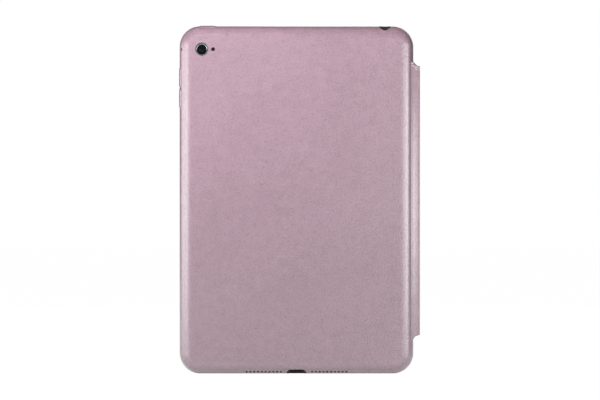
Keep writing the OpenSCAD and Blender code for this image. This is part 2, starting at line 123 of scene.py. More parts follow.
CAMERA_OPEN_R = 4.0
MIC_OPEN_R = 1.15
MESH_R, MESH_SEAT = 1.1, 1.88
JACK_OPEN_R = 3.4
JACK_DEPTH = 4.7
PORT_DEPTH = 4.6
PORT_WIDE = 11.6
PORT_HIGH = 6.6
PORT_R = 2.4
SPEAKER_R = 0.72
SPEAKER_DEPTH = 3.0
SPEAKER_FIRST = 9.3
SPEAKER_PITCH = 2.28
SPEAKER_HOLES = 10
SIDE_SLOT_DEPTH = 3.0
SIDE_SLOT = (0.9, 1.9)
PAD_R = 1.6
PAD_GAP = 0.2
PAD_PROUD = 0.35
PAD_DEEP = 3.2
SIDE_PAD_OPEN_R, SIDE_PAD_OPEN = 1.88, 3.4
TOP_PAD_OPEN_R, TOP_PAD_OPEN = 1.8, 3.3

LIP = 0.3
BACK_RING = 0.4
TURNED_EDGE = 0.35
END_SHARE = 0.35
CREASE_HALF = 0.28
SPINE_SEAM = 7.0
FILLET = 2.4
FILLET_X = 70.7
LOW_FILLET = 1.4
LOW_FILLET_X = 69.6
LOW_SLANT = 0.3

FOLD_START = 0.35
FOLD_SLOPE = math.tan(math.radians(60))
FOLD_END_R = 1.0
EDGE_ROUND = 1.1
LEATHER_IN = COVER_IN + 0.08
LINING_THICK = 0.5
LINING_BORDER = 1.5
LINING_LIP = 0.25
FOLD_IN = 1.0
FOLD_ROUND = 0.6
FACE_RING = 0.5
FOLD_REACH = 2.4
FOLD_CROWN = 0.05

SCREEN_HALF = (60.2, 80.25)
FRONT_DOTS = ((92.0, 1.7), (97.8, 0.8))

# ---------- camera and lamps ----------

VIEW_WIDTH = 357.96
VIEW_LENS = 150.0
VIEW_SENSOR = 36.0
VIEW_X = 0.37
VIEW_Z = 103.93
FLOOR_HALF = 4000.0
FLOOR_Z = -0.05

# Name, place, aim, width and height, power, and whether the lamp shows in reflections.
LAMPS = (
    ("left_softbox", (-335, -320, 125), (-40, 0, 115), (220, 250), 0.90, True),
    ("left_side_softbox", (-480, -60, 125), (-60, 0, 115), (400, 250), 1.15, True),
    ("right_softbox", (360, -270, 125), (40, 0, 115), (190, 250), 1.12, True),
    ("right_front_softbox", (215, -400, 130), (50, 0, 120), (90, 250), 0.40, True),
    ("key", (-90, -245, 312), (-35, 0, 195), (160, 80), 2.6, False),
    ("back_sheen_softbox", (250, 900, 500), (0, 0, 120), (600, 500), 1.5, True),
    ("back_left_softbox", (-330, 780, 330), (0, 0, 120), (600, 700), 7.5, False),
    ("back_right_softbox", (400, 760, 330), (0, 0, 120), (600, 700), 7.0, False),
)

# ---------- meshes ----------

def grid_faces(rows, columns, loop_rows=False, loop_columns=False):
    """Quads between the points of a grid that is stored row by row; a looped way joins up its ends."""
    i, j = np.meshgrid(np.arange(rows if loop_rows else rows - 1),
                       np.arange(columns if loop_columns else columns - 1), indexing="ij")
    down, along = (i + 1) % rows, (j + 1) % columns
    quads = [i * columns + j, i * columns + along, down * columns + along, down * columns + j]
    return np.stack(quads, -1).reshape(-1, 4).tolist()


def capped_faces(rows, columns):
    """Faces of a grid whose rows are rings, with the first and the last ring filled."""
    faces = grid_faces(rows, columns, loop_columns=True)
    return faces + [list(range(columns)), list(range((rows - 1) * columns, rows * columns))]


def make_piece(name, points, faces, smooth_angle=SMOOTH_ANGLE):
    """An object from points in millimetres. Its doubles are merged and its faces turned outwards."""
    mesh = bpy.data.meshes.new(name)
    mesh.from_pydata((np.asarray(points, float) * MM).tolist(), [], faces)
    form = bmesh.new()
    form.from_mesh(mesh)
    bmesh.ops.remove_doubles(form, verts=form.verts, dist=1e-7)
    bmesh.ops.recalc_face_normals(form, faces=form.faces)
    if form.calc_volume(signed=True) < 0:
        bmesh.ops.reverse_faces(form, faces=form.faces)
    form.to_mesh(mesh)
    form.free()
    smooth(mesh, smooth_angle)
    piece = bpy.data.objects.new(name, mesh)
    bpy.context.scene.collection.objects.link(piece)
    return piece


def smooth(mesh, angle):
    """Shades a mesh smooth, with sharp edges where its faces meet at more than an angle."""
    mesh.polygons.foreach_set("use_smooth", np.ones(len(mesh.polygons), bool))
    mesh.set_sharp_from_angle(angle=math.radians(angle))


def rounded(x_low, x_high, z_low, z_high, left_r, right_r, steps=CORNER_STEPS):
    """Outline of a rectangle with round corners, as X and Z, going round from +X to +Z.
    Each corner is its centre plus r * (cos a, sin a), with a going through a quarter turn."""
    corners = ((x_high - right_r, z_high - right_r, right_r), (x_low + left_r, z_high - left_r, left_r),
               (x_low + left_r, z_low + left_r, left_r), (x_high - right_r, z_low + right_r, right_r))
    quarter = np.radians(np.linspace(0, 90, steps + 1))
    rounds = [np.stack([x + r * np.cos(quarter + i * np.pi / 2), z + r * np.sin(quarter + i * np.pi / 2)], 1)
              for i, (x, z, r) in enumerate(corners)]
    return np.concatenate(rounds)


def stacked(outlines, depths):
    """Points and faces of a closed solid: outlines in X and Z, each at its own depth, joined one to
    the next, with the first and the last one filled."""
    rings = np.stack([np.insert(line, 1, BACK_Y + depth, axis=1) for line, depth in zip(outlines, depths)])
    return rings.reshape(-1, 3), capped_faces(*rings.shape[:2])


def revolved(centre, profile, closed, steps=96):
    """Points and faces of a profile of (radius, depth) turned about an axis along Y through centre:
    x = cx + r cos a, z = cz + r sin a. A closed profile is a ring; an open one starts and ends on
    the axis."""
    a = np.linspace(0, 2 * np.pi, steps, endpoint=False)
    r, depth = np.array(profile, float).T
    points = np.stack([centre[0] + np.outer(r, np.cos(a)),
                       BACK_Y + np.outer(depth, np.ones(steps)),
                       centre[2] + np.outer(r, np.sin(a))], -1)
    return points.reshape(-1, 3), grid_faces(len(r), steps, loop_rows=closed, loop_columns=True)


def prism(outline, axis, low, high):
    """Points and faces of a flat outline carried along axis 0, 1 or 2 from low to high. The outline's
    two numbers are the other two axes, in their order."""
    ends = [np.insert(outline, axis, value, axis=1) for value in (low, high)]
    return np.concatenate(ends), capped_faces(2, len(outline))


def disc(x, y, r, steps=40):
    """A circle: (x + r cos a, y + r sin a)."""
    a = np.linspace(0, 2 * np.pi, steps, endpoint=False)
    return np.stack([x + r * np.cos(a), y + r * np.sin(a)], 1)


def slot_line(x, y, wide, high, r):
    """A rectangle with round corners, centred on x and y."""
    return rounded(x - wide / 2, x + wide / 2, y - high / 2, y + high / 2, r, r, 8)


def joined(parts):
    """One set of points and faces from several."""
    points, faces, start = [], [], 0
    for part_points, part_faces in parts:
        points.append(part_points)
        faces += [[i + start for i in face] for face in part_faces]
        start += len(part_points)
    return np.concatenate(points), faces


def cut(piece, cutter):
    """Takes the cutter's solid out of the piece. The new walls keep the cutter's material."""
    modifier = piece.modifiers.new("openings", "BOOLEAN")
    modifier.operation = "DIFFERENCE"
    modifier.solver = "EXACT"
    modifier.object = cutter
    modifier.material_mode = "TRANSFER"
    bpy.context.view_layer.update()
    done = bpy.data.meshes.new_from_object(piece.evaluated_get(bpy.context.evaluated_depsgraph_get()))
    piece.modifiers.clear()
    piece.data = done
    done.name = piece.name
    bpy.data.objects.remove(cutter)
    smooth(done, SMOOTH_ANGLE)


# ---------- case leather ----------

def side_inset(depth):
    """How far in from the case's side its surface lies at a depth, as in rounded_edge."""
    left = np.clip(1 - np.asarray(depth, float) / EDGE_DEEP, 0, 1)
    return EDGE_IN * (1 - (1 - left ** 2) ** (1 / EDGE_POWER))


def rounded_edge(inset, wide, depth, deep, steps):
    """Edge that leaves the flat back softly and ends square on the side, as rows of (how far in, depth):
    with u = 1 - in / wide, depth = deep * (1 - sqrt(1 - u ^ EDGE_POWER))."""
    a = np.linspace(0, np.pi / 2, steps + 1)
    u = np.sin(a) ** (2 / EDGE_POWER)
    return np.stack([inset + wide * (1 - u), depth + deep * (1 - np.cos(a))], 1)


def case_levels():
    """Section of the case's leather: over the back edge, round the rim, and back under itself."""
    turn = np.linspace(0, np.pi / 2, 5)
    outer_lip = np.stack([LIP * (1 - np.cos(turn)), RIM_DEPTH - LIP + LIP * np.sin(turn)], 1)
    inner_lip = np.stack([RIM_WIDE - LIP + LIP * np.sin(turn), RIM_DEPTH - LIP + LIP * np.cos(turn)], 1)
    outer = rounded_edge(0, EDGE_IN, 0, EDGE_DEEP, EDGE_STEPS)
    inner = rounded_edge(SKIN, EDGE_IN - SKIN, SKIN, EDGE_DEEP - SKIN, EDGE_STEPS)[::-1]
    return np.concatenate([[[EDGE_IN + BACK_RING, 0]], outer, outer_lip, inner_lip,
                           [[RIM_WIDE, RIM_DEPTH - SKIN], [SKIN, RIM_DEPTH - SKIN]], inner,
                           [[EDGE_IN + BACK_RING, SKIN]]])


def case_outline(inset):
    return rounded(CASE_LOW[0] + inset, CASE_HIGH[0] - inset, CASE_LOW[2] + inset, CASE_HIGH[2] - inset,
                   CASE_R - inset, CASE_R - inset)


def speaker_places():
    """X of every speaker hole, on both sides of the middle."""
    out = SPEAKER_FIRST + SPEAKER_PITCH * np.arange(SPEAKER_HOLES)
    return np.concatenate([CASE_X - out, CASE_X + out])


def case_cutter():
    """Solids of everything that is open in the case's leather."""
    top, left = CASE_HIGH[2], CASE_LOW[0]
    at = BACK_Y
    parts = [
        prism(disc(CAMERA[0], CAMERA[2], CAMERA_OPEN_R, 72), 1, at - 1, at + 2),
        prism(disc(MICROPHONE[0], MICROPHONE[2], MIC_OPEN_R), 1, at - 1, at + 2),
        prism(disc(SOCKET[0], at + JACK_DEPTH, JACK_OPEN_R, 64), 2, top - 5, top + 1),
        prism(slot_line(CASE_X, at + PORT_DEPTH, PORT_WIDE, PORT_HIGH, PORT_R), 2, -1, 5),
        prism(slot_line(at + SIDE_SLOT_DEPTH, CAMERA[2], *SIDE_SLOT, SIDE_SLOT[0] / 2 - 0.01), 0,
              left - 1, left + 6),
    ]
    parts += [prism(disc(x, at + SPEAKER_DEPTH, SPEAKER_R, 20), 2, -1, 5.5) for x in speaker_places()]
    for node in ("volume_up_pad", "volume_down_pad"):
        low, high = box_mm(node)
        parts.append(prism(rounded(low[1] - PAD_GAP, high[1] + PAD_GAP, low[2] - PAD_GAP, high[2] + PAD_GAP,
                                   SIDE_PAD_OPEN_R, SIDE_PAD_OPEN_R, 8), 0, left - 1, left + SIDE_PAD_OPEN))
    low, high = box_mm("power_pad")
    parts.append(prism(rounded(low[0] - PAD_GAP, high[0] + PAD_GAP, low[1] - PAD_GAP, high[1] + PAD_GAP,
                               TOP_PAD_OPEN_R, TOP_PAD_OPEN_R, 8), 2, top - TOP_PAD_OPEN, top + 1))
    return make_piece("case_openings", *joined(parts))


def make_case_leather():
    levels = case_levels()
    points, faces = stacked([case_outline(inset) for inset, _ in levels], levels[:, 1])
    piece = make_piece("case_leather_body", points, faces)
    piece.data.materials.append(MATERIALS["case_leather"])
    cutter = case_cutter()
    # The walls of the openings take a near-black material: painted shade of the holes.
    cutter.data.materials.append(MATERIALS["opening_painted_shade"])
    cut(piece, cutter)
    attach(piece, TABLET_BODY)
    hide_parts("case_skin", "jack_surround")


def pad_rings(across, along, r, inner):
    """Rings of a pad from its middle out to its wall, as (across, along, rise): the face is flat in the
    middle and rounds over by a quarter circle at its edge, and the wall then goes down to inner."""
    turn = np.linspace(0, np.pi / 2, 6)
    insets = np.concatenate([[r * 0.75, r * 0.45], LIP * (1 - np.sin(turn)), [0, 0]])
    rises = np.concatenate([[0, 0], -LIP * (1 - np.cos(turn)), [-1.0, -inner]])
    rings = []
    for inset, rise in zip(insets, rises):
        line = rounded(-across / 2 + inset, across / 2 - inset, -along / 2 + inset, along / 2 - inset,
                       r - inset, r - inset, 10)
        rings.append(np.column_stack([line, np.full(len(line), rise)]))
    return np.stack(rings)


def make_pad(node, top_side):
    """A pressed-out pad of leather. Its face follows the case's side, PAD_PROUD above it."""
    low, high = box_mm(node)
    size = high - low
    along = size[0] if top_side else size[2]
    rings = pad_rings(size[1], along, PAD_R, PAD_DEEP)
    across, length, rise = rings[..., 0], rings[..., 1], rings[..., 2]
    y = (low[1] + high[1]) / 2 + across
    out = PAD_PROUD + rise - side_inset(np.clip(y - BACK_Y, 0, EDGE_DEEP))
    out[-1] = -PAD_DEEP
    middle = centre_mm(node)
    if top_side:
        points = np.stack([middle[0] + length, y, CASE_HIGH[2] + out], -1)
    else:
        points = np.stack([CASE_LOW[0] - out, y, middle[2] + length], -1)
    piece = make_piece(node + "_leather", points.reshape(-1, 3), capped_faces(*rings.shape[:2]), 50)
    piece.data.materials.append(MATERIALS["case_leather"])
    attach(piece, node)
    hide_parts(node)


# ---------- leather of the spine ----------

def polyline(points, step=0.25):
    """Points along a bent line, no further apart than a step."""
    points = np.array(points, float)
    lengths = np.hypot(*np.diff(points, axis=0).T)
    counts = np.maximum(1, np.ceil(lengths / step)).astype(int)
    runs = [a + (b - a) * np.linspace(0, 1, n, endpoint=False)[:, None]
            for a, b, n in zip(points[:-1], points[1:], counts)]
    return np.concatenate([*runs, points[-1:]])


def resampled(line, count):
    """The same bent line with a given number of points, evenly spaced along it."""
    along = np.concatenate([[0], np.cumsum(np.hypot(*np.diff(line, axis=0).T))])
    at = np.linspace(0, along[-1], count)
    return np.stack([np.interp(at, along, line[:, 0]), np.interp(at, along, line[:, 1])], 1)


def arc(x, depth, wide, deep, start, stop, count=9):
    """Part of an ellipse in X and depth: (x + wide cos a, depth + deep sin a)."""
    a = np.radians(np.linspace(start, stop, count))
    return np.stack([x + wide * np.cos(a), depth + deep * np.sin(a)], 1)


def band(outer, inner, low_end, high_end, rows_from_low, rows_from_high):
    """Points and faces of a band of leather. Its section is the line outer, and back along inner, both in
    X and depth with as many points. It is carried along Z between two ends whose Z depends on X.
    Rows are given as (distance from the end, how much of the thickness is left there)."""
    middle = (outer + inner) / 2
    rows = []
    spans = [(low_end, 1, rows_from_low), (high_end, -1, rows_from_high[::-1])]
    for end, way, offsets in spans:
        for distance, share in offsets:
            section = np.concatenate([middle + (outer - middle) * share,
                                      (middle + (inner - middle) * share)[::-1]])
            flat_x = np.concatenate([outer[:, 0], inner[::-1, 0]])
            rows.append(np.stack([section[:, 0], BACK_Y + section[:, 1], end(flat_x) + way * distance], -1))
    rows = np.stack(rows)
    return rows.reshape(-1, 3), capped_faces(*rows.shape[:2])


def band_rows(round_over, creases=(), crease=0.9):
    """Rows beside a band's end: the thickness grows by a quarter circle over round_over, and dips a
    little at each crease, where the leather's turned-in edge ends."""
    a = np.linspace(0, np.pi / 2, 5)
    rows = [(round_over * (1 - math.cos(t)), END_SHARE + (1 - END_SHARE) * math.sin(t)) for t in a]
    for place in creases:
        rows += [(place - CREASE_HALF, 1.0), (place, crease), (place + CREASE_HALF, 1.0)]
    return rows


def web_top_end(x):
    """Upper end of the web: level at the spine, and rising in a hollow quarter circle to the case."""
    k = np.clip((FILLET_X - x) / FILLET, 0, 1)
    return SPINE_HIGH[2] + FILLET * (1 - np.sqrt(1 - k ** 2))


def web_low_end(x):
    """Lower end of the web: a slant, with a smaller hollow beside the case."""
    slant = SPINE_LOW[2] + LOW_SLANT * (x - 70.5)
    k = np.clip((LOW_FILLET_X - x) / LOW_FILLET, 0, 1)
    return slant - LOW_FILLET * (1 - np.sqrt(1 - k ** 2))


def make_web_leather():
    """Leather from the case's side, round the first hinge line, to the middle of the spine strip."""
    half = (SPINE_HIGH[0] - SPINE_LOW[0]) / 2
    ax, ad = HINGE_A[0], HINGE_A[1] - BACK_Y
    outer = polyline(np.concatenate([
        [(66.4, 2.5), (67.3, 2.7), (69.2, 2.98), (ax - 0.8, 3.2), (ax - 0.62, 3.22), (ax - 0.45, 3.08)],
        arc(ax, ad, half, half, -90, 0), [(ax + half, SPINE_SEAM)]]))
    inner = resampled(polyline([(66.4, 4.3), (68.2, ad + half), (ax - half - 0.35, ad + half),
                                (ax - half - 0.08, ad + half + 0.1), (ax - half, ad + half + 0.4),
                                (ax - half, SPINE_SEAM)]), len(outer))
    inner = matched(inner, outer, (ax - half, ad + half), (ax + half * 0.7, ad - half * 0.7))
    points, faces = band(outer, inner, web_low_end, web_top_end, band_rows(TURNED_EDGE),
                         band_rows(TURNED_EDGE, (1.4, 2.7), 0.86))
    piece = make_piece("spine_web_leather", points, faces, 60)
    piece.data.materials.append(MATERIALS["case_leather"])
    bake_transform(piece)
    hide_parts("hinge_web")


def matched(inner, outer, inner_corner, outer_corner):
    """Spreads the inner line's points so that its corner lies opposite the outer line's corner."""
    count = len(outer)
    at_outer = int(np.argmin(np.hypot(*(outer - outer_corner).T)))
    at_inner = int(np.argmin(np.hypot(*(inner - inner_corner).T)))
    return np.concatenate([resampled(inner[:at_inner + 1], at_outer + 1),
                           resampled(inner[at_inner:], count - at_outer)[1:]])


def level(z):
    """An end of a band that lies at one height."""
    return lambda x: np.full(len(x), z)


def make_spine_leather():
    """Leather from the middle of the spine strip, round the second hinge line, onto the first panel."""
    half = (SPINE_HIGH[0] - SPINE_LOW[0]) / 2
    bx, bd = HINGE_B[0], HINGE_B[1] - BACK_Y
    face = COVER_OUT + 0.03
    outer = polyline(np.concatenate([
        [(bx + half, SPINE_SEAM)], arc(bx - 0.4, bd, half + 0.4, face - bd, 0, 90),
        [(67.0, face), (63.4, face), (62.8, COVER_OUT - 0.12), (62.4, COVER_OUT - 0.4)]]))
    inner = polyline([(bx - half, SPINE_SEAM), (bx - half, COVER_IN - 0.35),
                      (bx - half - 0.15, COVER_IN - 0.05), (bx - half - 0.5, COVER_IN + 0.05),
                      (68.6, COVER_IN + 0.05), (67.6, COVER_IN + 0.5), (66.0, COVER_IN + 1.2),
                      (62.4, COVER_OUT - 0.9)])
    inner = matched(inner, outer, (bx - half - 0.15, COVER_IN - 0.05), (bx + 0.15, COVER_OUT - 0.3))
    points, faces = band(outer, inner, level(SPINE_LOW[2]), level(SPINE_HIGH[2]), band_rows(TURNED_EDGE),
                         band_rows(TURNED_EDGE, (1.4,), 0.9))
    piece = make_piece("spine_leather", points, faces, 60)
    piece.data.materials.append(MATERIALS["case_leather"])
    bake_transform(piece)
    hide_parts("spine_skin")


# ---------- cover ----------

def wall_inset(depth):
    """How far a panel's edge stands back from the fold line at a depth."""
    return FOLD_START + FOLD_SLOPE * np.clip(depth - FOLD_DEPTH, 0, None)


def panel_ends(number):
    """Left and right limit of a panel, and which of them are folds."""
    left = {1: FOLD_1[0], 2: FOLD_2[0], 3: COVER_LOW[0]}[number]
    right = {1: COVER_RIGHT, 2: FOLD_1[0], 3: FOLD_2[0]}[number]
    return left, right, number != 3, number != 1


def panel_outline(number, free_inset, fold_inset):
    """Outline of a panel, set in by one measure at its free edges and by another beside a fold."""
    left, right, fold_left, fold_right = panel_ends(number)
    left_r = FOLD_END_R if fold_left else COVER_R - free_inset
    right_r = FOLD_END_R if fold_right else COVER_R - free_inset
    return rounded(left + (fold_inset if fold_left else free_inset),
                   right - (fold_inset if fold_right else free_inset),
                   COVER_BOTTOM + free_inset, COVER_TOP - free_inset, left_r, right_r)


def make_panel_leather(number):
    """A panel's leather over its board. Its free edges are half ellipses, EDGE_ROUND * (1 - cos a) in
    and half the thickness * sin a deep, and beside a fold the edge slopes along the groove's wall."""
    middle = (LEATHER_IN + COVER_OUT) / 2
    half = (COVER_OUT - LEATHER_IN) / 2
    a = np.radians(np.linspace(-90, 90, 17))
    depths = middle + half * np.sin(a)
    free = EDGE_ROUND * (1 - np.cos(a))
    fold = wall_inset(depths) + FOLD_ROUND * (1 - np.cos(a))
    free = np.concatenate([[free[0] + FACE_RING], free, [free[-1] + FACE_RING]])
    fold = np.concatenate([[fold[0] + FACE_RING], fold, [fold[-1] + FACE_RING]])
    depths = np.concatenate([depths[:1], depths, depths[-1:]])
    outlines = [panel_outline(number, f, g) for f, g in zip(free, fold)]
    piece = make_piece(f"panel_leather_{number}", *stacked(outlines, depths), 50)
    piece.data.materials.append(MATERIALS["case_leather"])
    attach(piece, f"panel_{number}")
    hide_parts(f"panel_skin_{number}")


def make_panel_lining(number):
    """A panel's soft lining: a thin sheet with rounded edges, a little in from the leather's edge."""
    lip = LINING_LIP
    turn = np.linspace(0, np.pi / 2, 5)
    insets = np.concatenate([[lip + FACE_RING], lip * (1 - np.sin(turn)), [0, 0.3]])
    depths = np.concatenate([[0], lip * (1 - np.cos(turn)), [LINING_THICK, LINING_THICK]]) + COVER_IN
    outlines = [panel_outline(number, LINING_BORDER + i, FOLD_IN + i) for i in insets]
    piece = make_piece(f"panel_lining_soft_{number}", *stacked(outlines, depths), 50)
    piece.data.materials.append(MATERIALS["case_lining"])
    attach(piece, f"panel_{number}")
    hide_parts(f"panel_lining_{number}")


def make_fold(name, hinge, d_in, d_out, inset, material):
    """A strip that lies in a groove's floor along the fold. Its outer face is crowned, and
    stands FOLD_CROWN * cos(pi x / (2 FOLD_REACH)) above d_out."""
    across = np.linspace(-FOLD_REACH, FOLD_REACH, 33)
    crown = FOLD_CROWN * np.cos(np.pi * across / FOLD_REACH / 2)
    outer = np.stack([hinge[0] + across, d_out + crown], 1)
    inner = np.stack([hinge[0] + across, np.full(len(across), d_in)], 1)
    points, faces = band(outer, inner, level(COVER_BOTTOM + inset), level(COVER_TOP - inset), band_rows(0.2),
                         band_rows(0.2))
    piece = make_piece(name, points, faces, 60)
    piece.data.materials.append(MATERIALS[material])
    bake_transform(piece)


def make_cover():
    for number in (1, 2, 3):
        make_panel_leather(number)
        make_panel_lining(number)
    for number, hinge in ((1, FOLD_1), (2, FOLD_2)):
        make_fold(f"fold_leather_{number}", hinge, FOLD_DEPTH, FOLD_DEPTH + 0.32, 0.9,
                  "case_leather")
        make_fold(f"fold_lining_{number}", hinge, COVER_IN + 0.04, FOLD_DEPTH - 0.02, 1.6,
                  "case_lining")


# ---------- tablet ----------

def make_camera():
    """Ring and window of the rear camera, turned about the camera's axis."""
    back = CAMERA_BACK
    ring = [(2.95, back + 0.75), (2.95, back + 0.14), (3.0, back + 0.05), (3.1, back), (3.36, back),
            (3.46, back + 0.05), (3.5, back + 0.16), (3.5, back + 0.75)]
    piece = make_piece("camera_trim_ring", *revolved(CAMERA, ring, True), 30)
    piece.data.materials.append(MATERIALS["camera_trim"])
    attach(piece, TABLET_BODY)
    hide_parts("camera_ring")
    window = [(0, back + 0.6), (2.9, back + 0.6), (2.9, back + 0.2), (2.86, back + 0.16),
              (1.72, back + 0.16), (1.66, back + 0.24), (1.5, back + 0.27), (1.38, back + 0.24),
              (1.2, back + 0.19), (0.9, back + 0.14), (0.6, back + 0.11), (0.3, back + 0.095),
              (0, back + 0.09)]
    piece = make_piece("camera_window", *revolved(CAMERA, window, False), 25)
    piece.data.materials.append(MATERIALS["lens_glass"])
    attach(piece, TABLET_BODY)
    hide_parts("camera_lens")


def make_microphone():
    """A near-black woven mesh at the bottom of the rear microphone's opening, dark as painted shade of the hole,
    turned about its own axis.
    """
    low, high = box_mm("rear_microphone")
    inner, r = high[1] - BACK_Y, (high[0] - low[0]) / 2
    seat, wide = MESH_SEAT, MESH_R
    profile = [(0, inner), (r, inner), (r, seat), (wide, seat), (wide, seat - 0.06),
               (wide - 0.06, seat - 0.1), (wide * 0.5, seat - 0.08), (0, seat - 0.07)]
    piece = make_piece("microphone_mesh", *revolved(MICROPHONE, profile, False), 30)
    # The near-black material here is painted shade of the microphone's hole.
    piece.data.materials.append(MATERIALS["opening_painted_shade"])
    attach(piece, TABLET_BODY)
    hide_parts("rear_microphone")


def make_home_button():
    """Home button with a shallow dished face, and the bright ring round it."""
    low, high = box_mm("home_button")
    inner, front = low[1] - BACK_Y, high[1] - BACK_Y
    r = (high[0] - low[0]) / 2
    dish = np.linspace(r - 0.35, 0, 12)
    face = [(x, front - 0.16 * (1 - (x / r) ** 2)) for x in dish]
    profile = [(0, inner), (r - 1, inner), (r - 1, inner + 0.3), (r, inner + 0.3), (r, front - 0.18),
               (r - 0.06, front - 0.07), (r - 0.18, front - 0.01), *face]
    piece = make_piece("home_button_cap", *revolved(HOME, profile, False), 40)
    piece.data.materials.append(MATERIALS["button_white"])
    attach(piece, "home_button")
    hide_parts("home_button")
    low, high = box_mm("home_button_ring")
    inner, front = low[1] - BACK_Y, high[1] - BACK_Y
    ring = [(r + 0.2, inner), (r + 0.9, inner), (r + 0.9, front - 0.12), (r + 0.8, front),
            (r + 0.45, front), (r + 0.2, front - 0.22)]
    piece = make_piece("home_button_trim", *revolved(HOME, ring, True), 30)
    piece.data.materials.append(MATERIALS["trim_steel"])
    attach(piece, TABLET_BODY)
    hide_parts("home_button_ring")


# ---------- shader groups ----------

def add(tree, kind, inputs=None, **settings):
    """Adds a node. inputs maps a socket's name or number to a value, or to the socket that feeds it."""
    made = tree.nodes.new(kind)
    for key, value in settings.items():
        setattr(made, key, value)
    for key, value in (inputs or {}).items():
        if isinstance(value, bpy.types.NodeSocket):
            tree.links.new(value, made.inputs[key])
        else:
            made.inputs[key].default_value = value
    return made


def new_group(name, inputs, outputs):
    """An empty shader group with named sockets. Colours are given as four numbers, values as one."""
    group = bpy.data.node_groups.new(name, "ShaderNodeTree")
    for socket, value in inputs.items():
        kind = "NodeSocketColor" if isinstance(value, tuple) and len(value) == 4 else \
            "NodeSocketVector" if isinstance(value, tuple) else "NodeSocketFloat"
        made = group.interface.new_socket(socket, in_out="INPUT", socket_type=kind)
        made.default_value = value
    for socket, kind in outputs.items():
        group.interface.new_socket(socket, in_out="OUTPUT", socket_type=kind)
    return group, group.nodes.new("NodeGroupInput").outputs, group.nodes.new("NodeGroupOutput").inputs


def maths(tree, operation, *values):
    return add(tree, "ShaderNodeMath", dict(enumerate(values)), operation=operation).outputs[0]


def blended(tree, *shares):
    """Adds up (value, weight) pairs."""
    total = None
    for value, weight in shares:
        part = maths(tree, "MULTIPLY", value, weight)
        total = part if total is None else maths(tree, "ADD", total, part)
    return total


def mixed(tree, factor, first, second):
    """Mixes two colours."""
    return add(tree, "ShaderNodeMix", {0: factor, 6: first, 7: second}, data_type="RGBA").outputs[2]


def moved(tree, operation, first, second):
    """Adds, subtracts or multiplies two vectors."""
    return add(tree, "ShaderNodeVectorMath", {0: first, 1: second}, operation=operation).outputs[0]


def scaled(tree, vector, factor):
    return add(tree, "ShaderNodeVectorMath", {0: vector, 3: factor}, operation="SCALE").outputs[0]


def spread(tree, value, low, high, from_low=0.0, from_high=1.0):
    """Spreads a value that runs from from_low to from_high over low to high."""
    sockets = {0: value, 1: from_low, 2: from_high, 3: low, 4: high}
    return add(tree, "ShaderNodeMapRange", sockets).outputs[0]


def noise(tree, where, scale, detail=2.0, roughness=0.5):
    made = add(tree, "ShaderNodeTexNoise", {"Vector": where, "Scale": scale, "Detail": detail,
                                            "Roughness": roughness})
    return made.outputs["Fac"]


OUTPUTS = {"Colour": "NodeSocketColor", "Roughness": "NodeSocketFloat", "Height": "NodeSocketFloat"}


def leather_group():
    """Fine pebbled grain: cells with soft valleys between them, finer creases over them, and a slow
    drift of colour. Size is a cell's width in metres."""
    group, given, out = new_group("leather grain", {
        "Where": (0.0, 0.0, 0.0), "Size": 0.0008, "Light": (0.7, 0.5, 0.6, 1), "Dark": (0.6, 0.4, 0.5, 1),
        "Rough low": 0.4, "Rough high": 0.55}, OUTPUTS)
    where = given["Where"]
    density = maths(group, "DIVIDE", 1.0, given["Size"])
    coarse = maths(group, "MULTIPLY", density, 0.6)
    stir = add(group, "ShaderNodeTexNoise", {"Vector": where, "Scale": coarse})
    offset = scaled(group, stir.outputs["Color"], maths(group, "MULTIPLY", given["Size"], 0.9))
    place = moved(group, "ADD", where, offset)
    cells = add(group, "ShaderNodeTexVoronoi", {"Vector": place, "Scale": density}, feature="SMOOTH_F1")
    pebble = maths(group, "SUBTRACT", 1.0, maths(group, "POWER", cells.outputs["Distance"], 1.6))
    fine = noise(group, place, maths(group, "MULTIPLY", density, 3.2), 3.0, 0.6)
    height = blended(group, (pebble, 0.8), (fine, 0.35))
    drift = noise(group, where, 26.0, 3.0, 0.55)
    patch = noise(group, where, 190.0, 2.0, 0.6)
    tone = blended(group, (drift, 0.2), (patch, 0.25), (pebble, 0.45), (fine, 0.35))
    tone = spread(group, tone, 0.0, 1.0, 0.475, 0.975)
    group.links.new(mixed(group, tone, given["Dark"], given["Light"]), out["Colour"])
    rough = spread(group, height, given["Rough high"], given["Rough low"], 0.5, 1.1)
    group.links.new(rough, out["Roughness"])
    group.links.new(height, out["Height"])
    return group


def speckle_group():
    """Fine even speckle, as on blasted metal or moulded plastic."""
    group, given, out = new_group("fine speckle", {
        "Where": (0.0, 0.0, 0.0), "Size": 0.0003, "Colour": (0.5, 0.5, 0.5, 1), "Strength": 0.08,
        "Rough low": 0.3, "Rough high": 0.45}, OUTPUTS)
    density = maths(group, "DIVIDE", 1.0, given["Size"])
    fine = noise(group, given["Where"], density, 3.0, 0.6)
    slow = noise(group, given["Where"], maths(group, "MULTIPLY", density, 0.03), 2.0, 0.5)
    shade = blended(group, (fine, 0.6), (slow, 0.4))
    change = maths(group, "MULTIPLY", maths(group, "SUBTRACT", shade, 0.5), given["Strength"])
    tint = scaled(group, given["Colour"], maths(group, "ADD", 1.0, change))
    group.links.new(tint, out["Colour"])
    rough = spread(group, shade, given["Rough low"], given["Rough high"], 0.3, 0.7)
    group.links.new(rough, out["Roughness"])
    group.links.new(fine, out["Height"])
    return group


